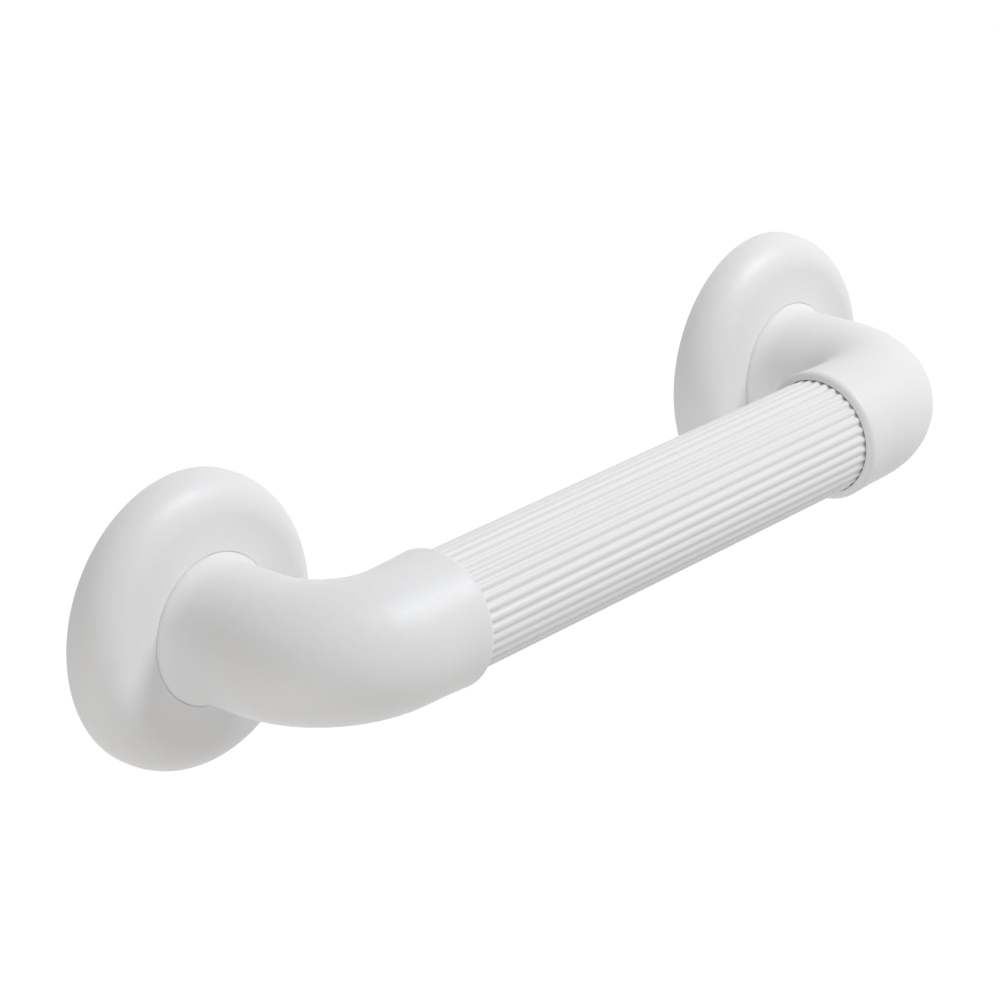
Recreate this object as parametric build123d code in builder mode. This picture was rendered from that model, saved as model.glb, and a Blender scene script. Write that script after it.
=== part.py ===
from build123d import *
import os
from math import acos, asin, atan, atan2, cos, degrees, pi, radians, sin

# A fluted grab bar for a shower or bath. A ribbed tube is held between two moulded elbows. Each elbow ends in
# a wall plate with screw holes, and a domed cover snaps over the plate and its screws.
# The wall is the plane Y = 0. The bar runs along X and stands off the wall towards -Y, with +Z up. The origin
# is on the wall, midway between the two elbows. All sizes are in millimetres.

# Where the bar stands
mount_span = 300.0  # between the axes of the two elbows, along the wall
projection = 67.0  # from the wall to the bar's axis

# Grip tube
tube_crest_r = 21.0  # over the ribs
flute_count = 36
flute_depth = 0.75  # from a rib's crest to the bottom of a groove
rib_share = 0.57  # of the flute pitch, taken by the rounded rib, with the rounded groove in the rest
tube_wall = 3.0  # under the grooves

# Moulded elbow
tube_clearance = 0.15  # between the ribs and the socket's bore
tube_end_gap = 0.3  # between the tube's end and the stop in the socket
socket_wall = 2.1  # at the socket's root
socket_swell = 0.7  # how much wider the rim is than the root
socket_length = 20.8  # from the end of the bend to the rim
socket_depth = 20.5  # from the rim to the stop
stop_ledge = 2.9  # how far the stop stands in from the bore
rim_round = 2.4
bend_inner_r = 6.25  # on the inside of the bend
flare_spread = 2.15  # how far the neck has flared out where the cover meets it
flare_r = 16.0
ledge_width = 3.5  # of the ledge under the cover's inner edge
hub_gusset = 3.0  # of the sloped root where the hub stands on the plate
hub_wall = 4.5
throat_rise = 9.0  # of the taper from the hub's hollow to the passage
plate_thickness = 6.0
undercut_depth = 0.9  # of the step behind the plate's edge that the cover's nibs snap into
edge_land = 0.7  # height of the plate's upright edge, between the undercut and the rounding above it

# Wall screws
screw_count = 3
screw_hole_r = 2.75
screw_recess_r = 5.0
screw_recess_depth = 1.0

# Domed cover
cover_r = 49.9
cover_side = 2.7  # from the wall to the start of the shoulder
shoulder_r = 12.5
cover_wall = 2.5
cover_edge_bevel = 0.15
wall_gap = 0.3  # between the cover's rim and the wall
plate_gap = 0.3  # between the cover's inside and the plate's edge, and between the nibs and the undercut
seam_gap = 0.1  # between the cover's inner edge and the flared neck
ledge_gap = 0.2  # between the cover's inner edge and the ledge under it
nib_count = 3
nib_arc = 30.0  # in degrees
nib_lead = 0.6  # height of the sloped lead on each nib

# Bar and elbows, from the sizes above
socket_bore_r = tube_crest_r + tube_clearance
neck_r = socket_bore_r + socket_wall
socket_rim_r = neck_r + socket_swell
passage_r = socket_bore_r - stop_ledge
bend_r = neck_r + bend_inner_r
neck_top = projection - bend_r
socket_end = bend_r + socket_length
stop_at = socket_end - socket_depth
tube_length = mount_span - 2 * (stop_at + tube_end_gap)
groove_bottom_r = tube_crest_r - flute_depth
tube_bore_r = groove_bottom_r - tube_wall
flute_step = 360.0 / flute_count

# Cover, with its shoulder's centre as a radius from the elbow's axis and a height off the wall
collar_r = neck_r + flare_spread
cover_hole_r = collar_r + seam_gap
cover_inner_r = cover_r - cover_wall
shoulder_centre = (cover_r - shoulder_r, cover_side)
seam_h = cover_side + shoulder_r
cover_edge_h = seam_h - cover_wall

# Hub and plate, which fit inside the cover
ledge_h = cover_edge_h - ledge_gap
hub_r = collar_r + ledge_width
hollow_r = hub_r - hub_wall
flare_top = seam_h + flare_r * sin(acos(1 - flare_spread / flare_r))
throat_top = plate_thickness + throat_rise
plate_r = cover_inner_r - plate_gap
plate_edge_r = shoulder_r - cover_wall - plate_gap
plate_edge_arc = degrees(asin((plate_thickness - cover_side) / plate_edge_r))
undercut_r = plate_r - undercut_depth
undercut_height = cover_side - edge_land
nib_r = undercut_r + plate_gap
nib_top = undercut_height - plate_gap
nib_root_r = cover_r - cover_wall / 2
screw_circle_r = (hub_r + plate_r) / 2

# Each elbow stands on a base plane of its own: z off the wall, x along the bar towards the other elbow. The
# right-hand elbow is the same moulding, turned half round.
left_base = Plane(origin=(-mount_span / 2, 0, 0), x_dir=(1, 0, 0), z_dir=(0, -1, 0))
right_base = Plane(origin=(mount_span / 2, 0, 0), x_dir=(-1, 0, 0), z_dir=(0, -1, 0))
bar_section = Plane(origin=(0, -projection, 0), x_dir=(0, -1, 0), z_dir=(1, 0, 0))


def polar(radius, angle):
    """A point of the bar's cross-section, with the angle in degrees from the side that faces the room."""
    return Vector(radius * cos(radians(angle)), radius * sin(radians(angle)))


def standing_plane(base, angle=0.0):
    """The plane through a base's axis, with x out along the radius at this angle and y up off the wall."""
    outward = base.x_dir.rotate(Axis(base.origin, base.z_dir), angle)
    return Plane(origin=base.origin, x_dir=outward, z_dir=outward.cross(base.z_dir))


def bar_plane(base, along):
    """The plane across the bar's axis, this far from a base's own axis."""
    origin = standing_plane(base).from_local_coords((along, projection))
    return Plane(origin=origin, x_dir=base.y_dir, z_dir=base.x_dir)


def flute_join():
    """Where a rib's arc runs smoothly into the groove's arc beside it, with the rib's crest at angle zero."""
    pitch = 2 * pi * (tube_crest_r - flute_depth / 2) / flute_count
    flank = 2 * atan(2 * flute_depth / pitch)
    rib_r = rib_share * pitch / 2 / sin(flank)
    rib_centre = polar(tube_crest_r - rib_r, 0)
    groove_bottom = polar(groove_bottom_r, flute_step / 2)
    reach = groove_bottom - rib_centre
    groove_r = (rib_r**2 - reach.length**2) / (2 * (reach.dot(groove_bottom.normalized()) - rib_r))
    groove_centre = polar(groove_bottom_r + groove_r, flute_step / 2)
    return rib_centre + (groove_centre - rib_centre).normalized() * rib_r


def moulded_elbow(base):
    """The wall plate and hub, the flared neck, the bend and the socket, cored right through."""
    section = standing_plane(base)
    neck_axis = Axis(base.origin, base.z_dir)
    bend_axis = Axis(section.from_local_coords((bend_r, neck_top)), base.y_dir)
    bar_axis = Axis(section.from_local_coords((bend_r, projection)), base.x_dir)
    rim = (socket_end, projection + socket_rim_r)
    with BuildPart() as elbow:
        # Plate, hub, ledge, collar, flare and neck are one turned shape. The plate's edge follows the cover.
        with BuildSketch(section) as turned:
            with BuildLine():
                edge = CenterArc(shoulder_centre, plate_edge_r, 0, plate_edge_arc)
                Polyline(edge @ 0, (plate_r, undercut_height), (undercut_r, undercut_height), (undercut_r, 0))
                Polyline(edge @ 1, (hub_r, plate_thickness), (hub_r, ledge_h), (collar_r, ledge_h))
                Line((collar_r, ledge_h), (collar_r, seam_h))
                TangentArc((neck_r, flare_top), (collar_r, seam_h), tangent=(0, -1))
                Polyline((neck_r, flare_top), (neck_r, neck_top), (0, neck_top), (0, 0), (undercut_r, 0))
            make_face()
            chamfer(turned.vertices().sort_by_distance((hub_r, plate_thickness))[0], length=hub_gusset)
        revolve(axis=neck_axis)
        # The bend carries the neck round to the bar's axis.
        with BuildSketch(base.offset(neck_top)):
            Circle(neck_r)
        revolve(axis=bend_axis, revolution_arc=90)
        # The socket swells gently from the bend to its rounded rim.
        with BuildSketch(section) as socket:
            with BuildLine():
                swell = TangentArc((bend_r, projection + neck_r), rim, tangent=(1, 0))
                Polyline(swell @ 1, (socket_end, projection), (bend_r, projection), swell @ 0)
            make_face()
            fillet(socket.vertices().sort_by_distance(rim)[0], radius=rim_round)
        revolve(axis=bar_axis)
        # The hollow of the hub tapers to the passage, which follows the bend and opens into the socket's bore.
        with BuildSketch(section):
            with BuildLine():
                Polyline((0, neck_top), (0, 0), (hollow_r, 0), (hollow_r, plate_thickness))
                Line((hollow_r, plate_thickness), (passage_r, throat_top))
                Polyline((passage_r, throat_top), (passage_r, neck_top), (0, neck_top))
            make_face()
        revolve(axis=neck_axis, mode=Mode.SUBTRACT)
        with BuildSketch(base.offset(neck_top)):
            Circle(passage_r)
        revolve(axis=bend_axis, revolution_arc=90, mode=Mode.SUBTRACT)
        with BuildSketch(bar_plane(base, bend_r)):
            Circle(passage_r)
        extrude(amount=socket_length, mode=Mode.SUBTRACT)
        with BuildSketch(bar_plane(base, stop_at)):
            Circle(socket_bore_r)
        extrude(amount=socket_depth, mode=Mode.SUBTRACT)
        # One screw is on the side away from the bar. The others are above and below the elbow, clear of it.
        with Locations(base.offset(plate_thickness)):
            with PolarLocations(screw_circle_r, screw_count, start_angle=180):
                CounterBoreHole(screw_hole_r, screw_recess_r, screw_recess_depth, depth=plate_thickness)
    return elbow


def domed_cover(base):
    """A shell with a short upright side, a wide round shoulder and a flat face, and nibs under its rim."""
    neck_axis = Axis(base.origin, base.z_dir)
    with BuildPart() as cover:
        with BuildSketch(standing_plane(base)) as shell:
            with BuildLine():
                outside = CenterArc(shoulder_centre, shoulder_r, 0, 90)
                inside = CenterArc(shoulder_centre, shoulder_r - cover_wall, 0, 90)
                Polyline(outside @ 1, (cover_hole_r, seam_h), (cover_hole_r, cover_edge_h), inside @ 1)
                Polyline(outside @ 0, (cover_r, wall_gap), (cover_inner_r, wall_gap), inside @ 0)
            make_face()
            chamfer(shell.vertices().sort_by_distance((cover_hole_r, seam_h))[0], length=cover_edge_bevel)
        revolve(axis=neck_axis)
        # Each nib has a sloped lead, to ride over the plate's edge into the undercut behind it.
        for nib in range(nib_count):
            start = nib * 360 / nib_count - nib_arc / 2
            with BuildSketch(standing_plane(base, start)):
                with BuildLine():
                    Polyline((nib_root_r, nib_top), (nib_root_r, wall_gap), (cover_inner_r, wall_gap))
                    Line((cover_inner_r, wall_gap), (nib_r, wall_gap + nib_lead))
                    Polyline((nib_r, wall_gap + nib_lead), (nib_r, nib_top), (nib_root_r, nib_top))
                make_face()
            revolve(axis=neck_axis, revolution_arc=nib_arc)
    return cover


# The tube's section is a ring of rounded ribs and grooves that run into each other.
join = flute_join()
join_angle = degrees(atan2(join.Y, join.X))
with BuildPart() as grip_tube:
    with BuildSketch(bar_section):
        with BuildLine():
            for rib in range(flute_count):
                crest = rib * flute_step
                rib_end = polar(join.length, crest + join_angle)
                ThreePointArc(polar(join.length, crest - join_angle), polar(tube_crest_r, crest), rib_end)
                next_rib = polar(join.length, crest + flute_step - join_angle)
                ThreePointArc(rib_end, polar(groove_bottom_r, crest + flute_step / 2), next_rib)
        make_face()
        Circle(tube_bore_r, mode=Mode.SUBTRACT)
    extrude(amount=tube_length / 2, both=True)

left_elbow = moulded_elbow(left_base)
right_elbow = moulded_elbow(right_base)
left_cover = domed_cover(left_base)
right_cover = domed_cover(right_base)

pieces = {
    "grip_tube": grip_tube,
    "left_elbow": left_elbow,
    "right_elbow": right_elbow,
    "left_cover": left_cover,
    "right_cover": right_cover,
}
os.makedirs("parts", exist_ok=True)
for name, piece in pieces.items():
    piece.part.label = name
    export_step(piece.part, f"parts/{name}.step")
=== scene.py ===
# %% [markdown]
# # A white fluted grab bar
#
# This lesson dresses a grab bar for a shower or bath. The bar is five plastic pieces: a fluted grip tube,
# two moulded elbows that hold its ends, and two round covers that hide the wall screws. Their shapes come
# ready made from the CAD model, so nothing is modelled again here. What is left is what Blender does best:
# the finish of the plastic, the light of a small studio, and the camera.
#
# We start by loading the pieces. They stay exactly where they are.

# %% Load the pieces
from math import cos, pi, radians, sin

import bpy
from mathutils import Matrix, Vector

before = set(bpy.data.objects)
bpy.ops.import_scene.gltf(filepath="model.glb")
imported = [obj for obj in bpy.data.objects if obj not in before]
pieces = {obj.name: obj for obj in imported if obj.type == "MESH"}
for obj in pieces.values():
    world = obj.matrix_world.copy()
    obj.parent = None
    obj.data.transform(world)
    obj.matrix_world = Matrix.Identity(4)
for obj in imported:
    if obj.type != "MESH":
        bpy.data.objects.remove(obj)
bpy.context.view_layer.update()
for name in sorted(pieces):
    print(f"{name}: {len(pieces[name].data.polygons)} faces")

# %% [markdown]
# ## Shader maths, written as sums
#
# A finish is a network of nodes. Wired by hand in Python, every small sum takes several lines, and the idea
# of the finish is lost among them. So one small class wraps a socket. Plain operators on it add Math nodes,
# and one method makes any other node: its type first, then its settings, then what goes into its sockets.

# %% A socket that can be added and multiplied
class Wire:
    """One output of a node, which Python's operators can work on."""

    def __init__(self, tree, socket):
        self.tree = tree
        self.socket = socket

    @classmethod
    def node(cls, tree, kind, settings=None, values=None, output=0):
        """Adds a node, sets it up, fills or links its inputs, and wraps an output, if it has any."""
        made = tree.nodes.new(kind)
        for name, setting in (settings or {}).items():
            setattr(made, name, setting)
        for name, value in (values or {}).items():
            if isinstance(value, Wire):
                tree.links.new(value.socket, made.inputs[name])
            else:
                made.inputs[name].default_value = value
        return cls(tree, made.outputs[output] if made.outputs else None)

    def maths(self, operation, first, second):
        """Adds a Math node that works on two values, of which at least one is a socket."""
        return Wire.node(self.tree, "ShaderNodeMath", {"operation": operation}, {0: first, 1: second})

    def __add__(self, other):
        return self.maths("ADD", self, other)

    def __radd__(self, other):
        return self.maths("ADD", other, self)

    def __sub__(self, other):
        return self.maths("SUBTRACT", self, other)

    def __rsub__(self, other):
        return self.maths("SUBTRACT", other, self)

    def __mul__(self, other):
        return self.maths("MULTIPLY", self, other)

    def __rmul__(self, other):
        return self.maths("MULTIPLY", other, self)


print("A wrapped socket takes +, - and *")

# %% [markdown]
# ## What every white plastic shares
#
# White plastic is never one flat colour. The pigment is mixed a little unevenly, and the skin is duller in
# some places than in others. Both show as faint clouds some centimetres across. A picture could hold them,
# but it would need unwrapped pieces and would blur close up. Noise in the object's own space is the better
# way: it has no seams, and it is sharp at any distance.
#
# `clouds` gives noise of a stated size in metres, centred on zero, so that each finish can say by how much
# it varies. `between` lets such noise swing a colour from one white to another. `plastic` is the shader at
# the end of every finish: a colour, a roughness, and a relief that tilts the light.

# %% Clouds and the shader that they feed
PLASTIC_IOR = 1.5
HALF = 0.5
# A Mix node has sockets for every kind of value. These are the places of those for colours.
MIX_SHARE, MIX_FIRST, MIX_SECOND, MIX_RESULT = 0, 6, 7, 2


def own_place(tree):
    """Where each point of the surface is on the object, in metres."""
    return Wire.node(tree, "ShaderNodeTexCoord", output="Object")


def clouds(tree, where, size, detail=2.0):
    """Noise from about -0.5 to 0.5 with lumps of this size."""
    values = {"Vector": where, "Scale": 1 / size, "Detail": detail}
    return Wire.node(tree, "ShaderNodeTexNoise", values=values) - HALF


def between(tree, first, second, swing):
    """A colour on the way from the first to the second, and halfway where the swing is zero."""
    values = {MIX_SHARE: HALF + swing, MIX_FIRST: (*first, 1.0), MIX_SECOND: (*second, 1.0)}
    return Wire.node(tree, "ShaderNodeMix", {"data_type": "RGBA"}, values, output=MIX_RESULT)


def new_material(name):
    """An empty material and its node tree."""
    material = bpy.data.materials.new(name)
    material.use_nodes = True
    material.node_tree.nodes.clear()
    return material, material.node_tree


def plastic(tree, colour, roughness, relief, depth):
    """Ends a finish: a shader with this colour and roughness, and a relief of this depth in metres."""
    normal = Wire.node(tree, "ShaderNodeBump", values={"Height": relief, "Distance": depth})
    values = {"Base Color": colour, "Roughness": roughness, "IOR": PLASTIC_IOR, "Normal": normal}
    shader = Wire.node(tree, "ShaderNodeBsdfPrincipled", values=values)
    Wire.node(tree, "ShaderNodeOutputMaterial", values={"Surface": shader})


print("Plastic has an index of refraction of", PLASTIC_IOR)

# %% [markdown]
# ## Moulded white for the elbows and covers
#
# The elbows and covers are moulded in steel tools whose walls are lightly spark-eroded. That leaves a satin
# skin: a grain far too fine to see from a step away, which spreads every highlight into a soft sheen. The
# grain is a relief of about a hundredth of a millimetre. Over it lie slow waves, a few millimetres long,
# where the skin has shrunk a little unevenly in cooling.
#
# Grain as real geometry would take millions of faces, so it is bump. The clouds of pigment run from a
# cooler white to a warmer one, and both are so close that only a long look finds them.

# %% Moulded white
MOULDED_COOL = (0.88, 0.886, 0.892)
MOULDED_WARM = (0.91, 0.905, 0.9)
MOULDED_ROUGHNESS = 0.41
# How large the lumps of each kind are, in metres.
MOULDED_PIGMENT = 0.045
DULL_PATCH = 0.020
GRAIN = 0.00045
SHRINKAGE_WAVE = 0.006
# By how much the patches and the grain change the roughness.
PATCH_DULLS = 0.10
GRAIN_DULLS = 0.05
# How high the grain is beside the waves, and how deep the whole relief is, in metres.
GRAIN_HEIGHT = 0.5
MOULDED_RELIEF = 0.00014


def moulded_white(name):
    """Satin moulded plastic with a fine grain."""
    material, tree = new_material(name)
    place = own_place(tree)
    pigment = clouds(tree, place, MOULDED_PIGMENT)
    dull_patches = clouds(tree, place, DULL_PATCH)
    grain = clouds(tree, place, GRAIN)
    shrinkage = clouds(tree, place, SHRINKAGE_WAVE, detail=1.0)
    colour = between(tree, MOULDED_COOL, MOULDED_WARM, pigment)
    roughness = MOULDED_ROUGHNESS + PATCH_DULLS * dull_patches + GRAIN_DULLS * grain
    plastic(tree, colour, roughness, GRAIN_HEIGHT * grain + shrinkage, MOULDED_RELIEF)
    return material


elbow_white = moulded_white("elbow_white")
cover_white = moulded_white("cover_white")
print("Moulded:", elbow_white.name, cover_white.name)

# %% [markdown]
# ## Extruded white for the grip tube
#
# The tube is pressed through a die as one endless length, so its marks all run the same way: hair-fine
# lines along the bar, drawn by the edge of the die. The same noise makes them if the space that it lives in
# is squeezed along the bar, which draws every lump out into a line.
#
# Vectors go through Vector Math and not Math, which would turn the three numbers into one.

# %% Extruded white
TUBE_COOL = (0.868, 0.873, 0.878)
TUBE_WARM = (0.889, 0.884, 0.879)
TUBE_ROUGHNESS = 0.34
# The bar runs along X, so that is the way in which the space is squeezed.
SQUEEZE = (0.01, 1.0, 1.0)
# How large the clouds are, and how wide the lines and streaks, in metres.
TUBE_PIGMENT = 0.060
DIE_LINE = 0.0004
STREAK = 0.0025
# By how much the streaks and the lines change the roughness.
STREAK_DULLS = 0.08
LINE_DULLS = 0.06
# How high the lines are beside the streaks, and how deep the whole relief is, in metres.
LINE_HEIGHT = 0.5
TUBE_RELIEF = 0.000006


def extruded_white(name):
    """Extruded plastic with die lines along the bar."""
    material, tree = new_material(name)
    place = own_place(tree)
    squeezed = {0: place, 1: SQUEEZE}
    along_bar = Wire.node(tree, "ShaderNodeVectorMath", {"operation": "MULTIPLY"}, squeezed)
    pigment = clouds(tree, place, TUBE_PIGMENT)
    die_lines = clouds(tree, along_bar, DIE_LINE)
    streaks = clouds(tree, along_bar, STREAK)
    colour = between(tree, TUBE_COOL, TUBE_WARM, pigment)
    roughness = TUBE_ROUGHNESS + STREAK_DULLS * streaks + LINE_DULLS * die_lines
    plastic(tree, colour, roughness, LINE_HEIGHT * die_lines + streaks, TUBE_RELIEF)
    return material


tube_white = extruded_white("tube_white")
print("Extruded:", tube_white.name)

# %% [markdown]
# ## Smooth skin over the joins
#
# A CAD model is sewn together from faces: a neck, a bend, a socket. Where two of them meet smoothly, each
# brings its own guess of which way the skin looks, and the two differ a little. On a glossy white piece
# that shows as a faint line across the bend, where the real moulding has none.
#
# The corners could be worked out anew in numpy and written into the mesh. Three modifiers do it without
# touching the mesh. Weld joins the faces where their corners lie in the same place, Edge Split parts them
# again along the real edges, and Weighted Normal gives each corner the mean direction of the skin round it.

# %% Smooth the joins
SAME_PLACE = 0.000001
REAL_EDGE = radians(35)


def smooth_joins(piece):
    """Lets the light run on over the joins of a piece, and keeps its real edges crisp."""
    weld = piece.modifiers.new("close_joins", "WELD")
    weld.merge_threshold = SAME_PLACE
    split = piece.modifiers.new("keep_edges", "EDGE_SPLIT")
    split.split_angle = REAL_EDGE
    split.use_edge_sharp = False
    even = piece.modifiers.new("even_skin", "WEIGHTED_NORMAL")
    even.mode = "FACE_AREA_WITH_ANGLE"
    even.thresh = 0.0


for piece in pieces.values():
    smooth_joins(piece)
print("Smoothed the joins of", len(pieces), "pieces")

# %% [markdown]
# ## Putting the finishes on
#
# Each piece has one slot for a material, which already carries the plain colour of the record. We swap it
# for the finish that fits the piece.

# %% Dress each piece
finishes = {
    "grip_tube": tube_white,
    "left_elbow": elbow_white,
    "right_elbow": elbow_white,
    "left_cover": cover_white,
    "right_cover": cover_white,
}
for name, finish in finishes.items():
    pieces[name].data.materials[0] = finish
    print(name, "wears", finish.name)

# %% [markdown]
# ## A white room
#
# The picture that we match is a catalogue shot: white all round, with no wall and no shadow in view.
#
# The white that the lens sees and the light that reaches the bar are two different things. A room whose
# walls all gave full white light would wash the shading away. So the room looks white to the camera and in
# reflections, and is a calmer grey for the light that it sheds. That grey is a touch warm, so the shaded
# sides are warmer than the lit ones. Light Path tells the two kinds of ray apart.

# %% The room
FULL_WHITE = (1.0, 1.0, 1.0, 1.0)
ROOM_LIGHT = 0.452
ROOM_TINT = (1.0, 0.984, 0.972, 1.0)

world = bpy.data.worlds.new("studio")
bpy.context.scene.world = world
world.use_nodes = True
room = world.node_tree
room.nodes.clear()
to_lens = Wire.node(room, "ShaderNodeLightPath", output="Is Camera Ray")
to_mirror = Wire.node(room, "ShaderNodeLightPath", output="Is Glossy Ray")
through_glass = Wire.node(room, "ShaderNodeLightPath", output="Is Transmission Ray")
in_view = to_lens + to_mirror + through_glass
shed = Wire.node(room, "ShaderNodeBackground", values={"Strength": ROOM_LIGHT, "Color": ROOM_TINT})
seen = Wire.node(room, "ShaderNodeBackground", values={"Strength": 1.0, "Color": FULL_WHITE})
walls = Wire.node(room, "ShaderNodeMixShader", values={0: in_view, 1: shed, 2: seen})
Wire.node(room, "ShaderNodeOutputWorld", values={"Surface": walls})
print("The room sheds", ROOM_LIGHT, "of full white")

# %% [markdown]
# ## The floor
#
# The bar hangs as it would on a wall, so the floor is well below it, and the shadow on it falls outside the
# picture. It is there for the eye alone: the room already sheds its even light from below, so the floor
# neither adds light to the bar nor blocks any. In this calm light a white floor would look pale grey. A
# faint glow of its own lifts it to the white of the room, and it still shows the shadow when we look down
# on it.

# %% The floor
FLOOR_DROP = 0.9
FLOOR_HALF = 12.0
FLOOR_WHITE = (0.95, 0.95, 0.95, 1.0)
FLOOR_GLOW = 0.2

round_the_floor = ((-1, -1), (1, -1), (1, 1), (-1, 1))
corners = [(x * FLOOR_HALF, y * FLOOR_HALF, -FLOOR_DROP) for x, y in round_the_floor]
floor_mesh = bpy.data.meshes.new("studio_floor")
floor_mesh.from_pydata(corners, [], [(0, 1, 2, 3)])
floor = bpy.data.objects.new("studio_floor", floor_mesh)
bpy.context.scene.collection.objects.link(floor)
floor.visible_diffuse = False
floor.visible_shadow = False
floor_white, paint = new_material("floor_white")
glow = {"Emission Color": FULL_WHITE, "Emission Strength": FLOOR_GLOW}
matt = {"Base Color": FLOOR_WHITE, "Roughness": 1.0, "Specular IOR Level": 0.0}
coat = Wire.node(paint, "ShaderNodeBsdfPrincipled", values={**matt, **glow})
Wire.node(paint, "ShaderNodeOutputMaterial", values={"Surface": coat})
floor_mesh.materials.append(floor_white)
print("The floor is", FLOOR_DROP, "m below the bar")

# %% [markdown]
# ## A soft lamp and a white card
#
# The highlights lie on the upper right of every round form, so one large soft lamp stands high on the
# right, to the front. They do not lie at quite the same place on the two covers, as they would in the light
# of the sun. So the lamp is near, about two metres off, and the right end is a little brighter than the
# left: it has to be an area lamp.
#
# The undersides and the far left ends are brighter than the room alone would make them. That is the work of
# a white card, low on the left, which sends some of the lamp's light back. Its light is too faint for
# highlights, so a sun lamp with a wide angle is enough for it.
#
# The strengths are kept plain: a surface that faces the lamp gets about as much light as full white, so a
# colour shows as it was written. The lamp's own light is a touch cooler than the room's.

# %% The lamp and the card
BAR_MIDDLE = Vector((0.0, -0.035, 0.0))
LAMP_DISTANCE = 2.25
LAMP_ACROSS = 1.0
LAMP_SHARE = 0.512
LAMP_TINT = (0.947, 0.967, 1.0)
CARD_WIDTH = radians(50)
CARD_SHARE = 0.157


def direction_to(azimuth, elevation):
    """The way from the bar to a lamp or camera, in degrees. Azimuth 0 is in front and 90 on the right."""
    turn, rise = radians(azimuth), radians(elevation)
    return Vector((sin(turn) * cos(rise), -cos(turn) * cos(rise), sin(rise)))


def put_up(light, direction):
    """Stands a light on this side of the bar, facing it, out of the camera's sight."""
    stand = bpy.data.objects.new(light.name, light)
    stand.location = BAR_MIDDLE + direction * LAMP_DISTANCE
    stand.rotation_euler = direction.to_track_quat("Z", "Y").to_euler()
    stand.visible_camera = False
    bpy.context.scene.collection.objects.link(stand)
    return stand


to_lamp = direction_to(azimuth=38.5, elevation=49)
soft_lamp = bpy.data.lights.new("soft_lamp", "AREA")
soft_lamp.shape = "DISK"
soft_lamp.size = LAMP_ACROSS
soft_lamp.energy = LAMP_SHARE * (pi * LAMP_DISTANCE) ** 2
soft_lamp.color = LAMP_TINT
lamp_stand = put_up(soft_lamp, to_lamp)
white_card = bpy.data.lights.new("white_card", "SUN")
white_card.angle = CARD_WIDTH
white_card.energy = CARD_SHARE * pi
put_up(white_card, direction_to(azimuth=-70, elevation=-33))
print("The lamp gives", round(soft_lamp.energy, 1), "W")
print("The card gives", round(white_card.energy, 2), "W per square metre")

# %% [markdown]
# ## The floor's own lamp
#
# A near lamp leaves a bright patch on a floor and lets it fade to grey further off, where the picture is
# white. So the soft lamp lights the bar alone, and the floor gets a sun from the same side. It is as bright
# everywhere, and the bar still casts its soft shadow. Light linking says which lamp lights what: each lamp
# names the objects that receive it.

# %% Light linking
FLOOR_LAMP_WIDTH = radians(25)
FLOOR_LAMP_SHARE = 0.56

floor_lamp = bpy.data.lights.new("floor_lamp", "SUN")
floor_lamp.angle = FLOOR_LAMP_WIDTH
floor_lamp.energy = FLOOR_LAMP_SHARE * pi
floor_lamp_stand = put_up(floor_lamp, to_lamp)
for stand, lit in ((lamp_stand, list(pieces.values())), (floor_lamp_stand, [floor])):
    receivers = bpy.data.collections.new("lit_by_" + stand.name)
    for thing in lit:
        receivers.objects.link(thing)
    stand.light_linking.receiver_collection = receivers
    print(stand.name, "lights", [thing.name for thing in lit])

# %% [markdown]
# ## The camera
#
# The camera was worked out from the picture's own outlines: the ellipses of the two covers and the edges of
# the tube fix where it stood and how long its lens was. It looks from the left, from above, through a long
# lens, and it was held very slightly tilted.
#
# A camera is three directions and a place. Azimuth and elevation give the direction back towards the lens,
# and the tilt turns the other two about it.

# %% The camera
AZIMUTH = -47.495
ELEVATION = 21.617
QUARTER_TURN = 90
TILT = radians(-2.437)
DISTANCE = 1.2277
LOOKS_AT = Vector((-0.033008, -0.033468, 0.010774))
PICTURE_PIXELS = 1000
FOCAL_PIXELS = 3648.4

back = direction_to(AZIMUTH, ELEVATION)
level = direction_to(AZIMUTH + QUARTER_TURN, 0)
upright = back.cross(level)
right = level * cos(TILT) + upright * sin(TILT)
up = upright * cos(TILT) - level * sin(TILT)
lens = bpy.data.cameras.new("camera")
lens.lens = lens.sensor_width * FOCAL_PIXELS / PICTURE_PIXELS
camera = bpy.data.objects.new("camera", lens)
facing = Matrix((right, up, back)).transposed().to_4x4()
camera.matrix_world = Matrix.Translation(LOOKS_AT + back * DISTANCE) @ facing
bpy.context.scene.collection.objects.link(camera)
bpy.context.scene.camera = camera
bpy.context.scene.view_settings.view_transform = "Standard"
print("Lens of", round(lens.lens, 1), "mm")
